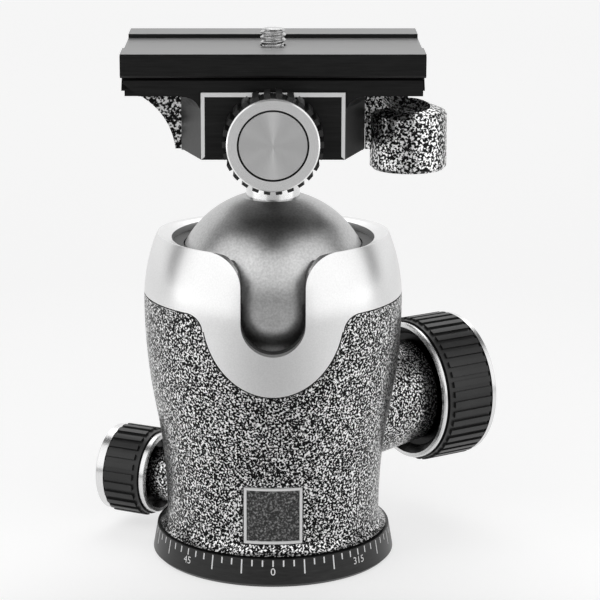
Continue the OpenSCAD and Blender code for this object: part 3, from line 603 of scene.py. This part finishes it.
def camera_screw():
    """The 1/4 inch screw with its cut thread, in place of the plain CAD screw."""
    low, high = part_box("camera_screw")
    plate_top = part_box("camera_plate")[1].z
    sectors = 48
    pitch = 1.27 * MM
    minor = 2.55 * MM
    major = 3.17 * MM
    end_r = 0.1 * MM
    head_r = 7.0 * MM
    head_top = low.z + 3.3 * MM
    lower_bevel = 0.4 * MM
    upper_bevel = 0.3 * MM
    thread_low = plate_top - 0.8 * MM
    outline = (
        (end_r, low.z),
        (head_r - lower_bevel, low.z),
        (head_r, low.z + lower_bevel),
        (head_r, head_top - upper_bevel),
        (head_r - upper_bevel, head_top),
        (minor + 0.07 * MM, head_top),
        (minor + 0.03 * MM, thread_low),
    )
    rows = [circle_row(r, z, sectors) for r, z in outline]
    rows += thread_rows(thread_low, high.z, pitch, minor, major, sectors, 0.5 * MM, 0.7 * MM)
    rows.append(circle_row(end_r, high.z, sectors))
    points, faces = skin(rows)
    metal = steel("screw_steel")
    piece = mesh_piece("camera_screw_threaded", points, faces, metal, "camera_screw")
    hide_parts("camera_screw")


def socket_bush():
    """The 3/8 inch tripod bush with its cut thread, in place of the plain CAD bush."""
    low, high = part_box("socket_bush")
    sectors = 64
    pitch = 1.5875 * MM
    minor = 3.97 * MM
    major = 4.7 * MM
    outer = (high.x - low.x) / 2
    mouth_r = 4.9 * MM
    top_r = 4.2 * MM
    bevel = 0.2 * MM
    mouth_depth = 0.9 * MM
    end = 0.1 * MM
    outline = (
        (mouth_r, low.z),
        (outer - bevel, low.z),
        (outer, low.z + bevel),
        (outer, high.z),
        (top_r, high.z),
    )
    rows = [circle_row(r, z, sectors) for r, z in outline]
    wall = thread_rows(low.z + mouth_depth, high.z - end, pitch, minor, major, sectors, end, end)
    rows += list(reversed(wall))
    points, faces = skin(rows, ring=True)
    piece = mesh_piece("socket_bush_threaded", points, faces, steel("bush_steel"), "base")
    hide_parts("socket_bush")


dial_marks()
camera_screw()
socket_bush()


# Studio, in metres and watts

def area(name, place, target, size, power):
    """A rectangular lamp that faces its target."""
    lamp = bpy.data.lights.new(name, "AREA")
    lamp.shape = "RECTANGLE"
    lamp.size, lamp.size_y = size
    lamp.energy = power
    obj = new_object(name, lamp)
    obj.location = place
    obj.rotation_euler = (Vector(target) - Vector(place)).to_track_quat("-Z", "Y").to_euler()


def lamps():
    """Two side boxes that streak the metal, a broad one in front and one above and behind."""
    side_x = 0.247
    side_y = -0.143
    side_z = 0.3
    side_size = (0.38, 0.53)
    side_aim = (0.0, 0.0, side_z)
    area("left_box", (-side_x, side_y, side_z), side_aim, side_size, power=0.72)
    area("right_box", (side_x, side_y, side_z), side_aim, side_size, power=0.68)
    area("front_box", place=(0.0, -0.66, 0.5), target=(0.0, 0.0, 0.09), size=(0.8, 0.6), power=1.5)
    area("top_box", place=(0.0, 0.5, 0.9), target=(0.0, 0.0, 0.07), size=(0.9, 0.7), power=3.1)


def room_light():
    """Even white light from all round."""
    world = bpy.data.worlds.new("studio")
    bpy.context.scene.world = world
    world.use_nodes = True
    back = world.node_tree.nodes["Background"]
    back.inputs["Color"].default_value = grey(1.0)
    back.inputs["Strength"].default_value = 0.17


def paper():
    """Pale paper whose glow only the camera, reflections and clear pieces see.

    The glow grows away from the origin, and it is lowered in front of the head as a painted shade.
    """
    s = Shader("paper", Base_Color=grey(0.42), Roughness=0.9, Specular_IOR_Level=0.0,
               Emission_Color=grey(1.0))
    light = s.add("ShaderNodeLightPath").outputs
    shown = s.math("MAXIMUM", light["Is Camera Ray"], light["Is Glossy Ray"])
    shown = s.math("MAXIMUM", shown, light["Is Transmission Ray"])
    level = s.between(s.vector("LENGTH", s.coords)["Value"], 0.66, 0.97, start=0.3, end=2.0)
    # Painted shade: the glow is lowered near a point in front of the head and over the front of the floor
    shade_at = (0.0, -0.15, 0.0)
    shade_reach = 0.17
    apart = s.vector("DISTANCE", s.coords, shade_at)["Value"]
    shade = s.between(s.step(apart, 0.0, shade_reach), 0.3, 1.0)
    front = s.between(s.step(s.split(s.coords)["Y"], -0.3, -0.03), 0.5, 1.0)
    glow = s.math("MULTIPLY", shown, level)
    s.set("Emission Strength", s.math("MULTIPLY", s.math("MULTIPLY", shade, front), glow))
    return s.mat


def backdrop():
    """A floor of paper that bends up into a wall behind the head."""
    near_edge = -1.6
    wall = 2.6
    bend = 0.6
    wall_top = 3.0
    half_width = 6.0
    arc_steps = 12
    profile = [(near_edge, 0.0), (wall - bend, 0.0)]
    for k in range(1, arc_steps + 1):
        a = math.radians(90 * k / arc_steps)
        profile.append((wall - bend + bend * math.sin(a), bend - bend * math.cos(a)))
    profile.append((wall, wall_top))
    points = [(x, y, z) for y, z in profile for x in (-half_width, half_width)]
    faces = [(2 * k, 2 * k + 1, 2 * k + 3, 2 * k + 2) for k in range(len(profile) - 1)]
    mesh = bpy.data.meshes.new("sweep")
    mesh.from_pydata(points, [], faces)
    for polygon in mesh.polygons:
        polygon.use_smooth = True
    mesh.materials.append(paper())
    sweep = new_object("sweep", mesh)


def camera():
    """The photograph's camera, as it was fitted to the picture."""
    dip_degrees = 14.07
    data = bpy.data.cameras.new("camera")
    data.sensor_width = 36.0
    data.lens = 143.28
    data.shift_x = 0.0449
    obj = new_object("camera", data)
    obj.location = (0.0, -0.5819, 0.211)
    obj.rotation_euler = (math.radians(90 - dip_degrees), 0.0, 0.0)
    bpy.context.scene.camera = obj


lamps()
room_light()
backdrop()
camera()
bpy.context.scene.view_settings.view_transform = "Standard"
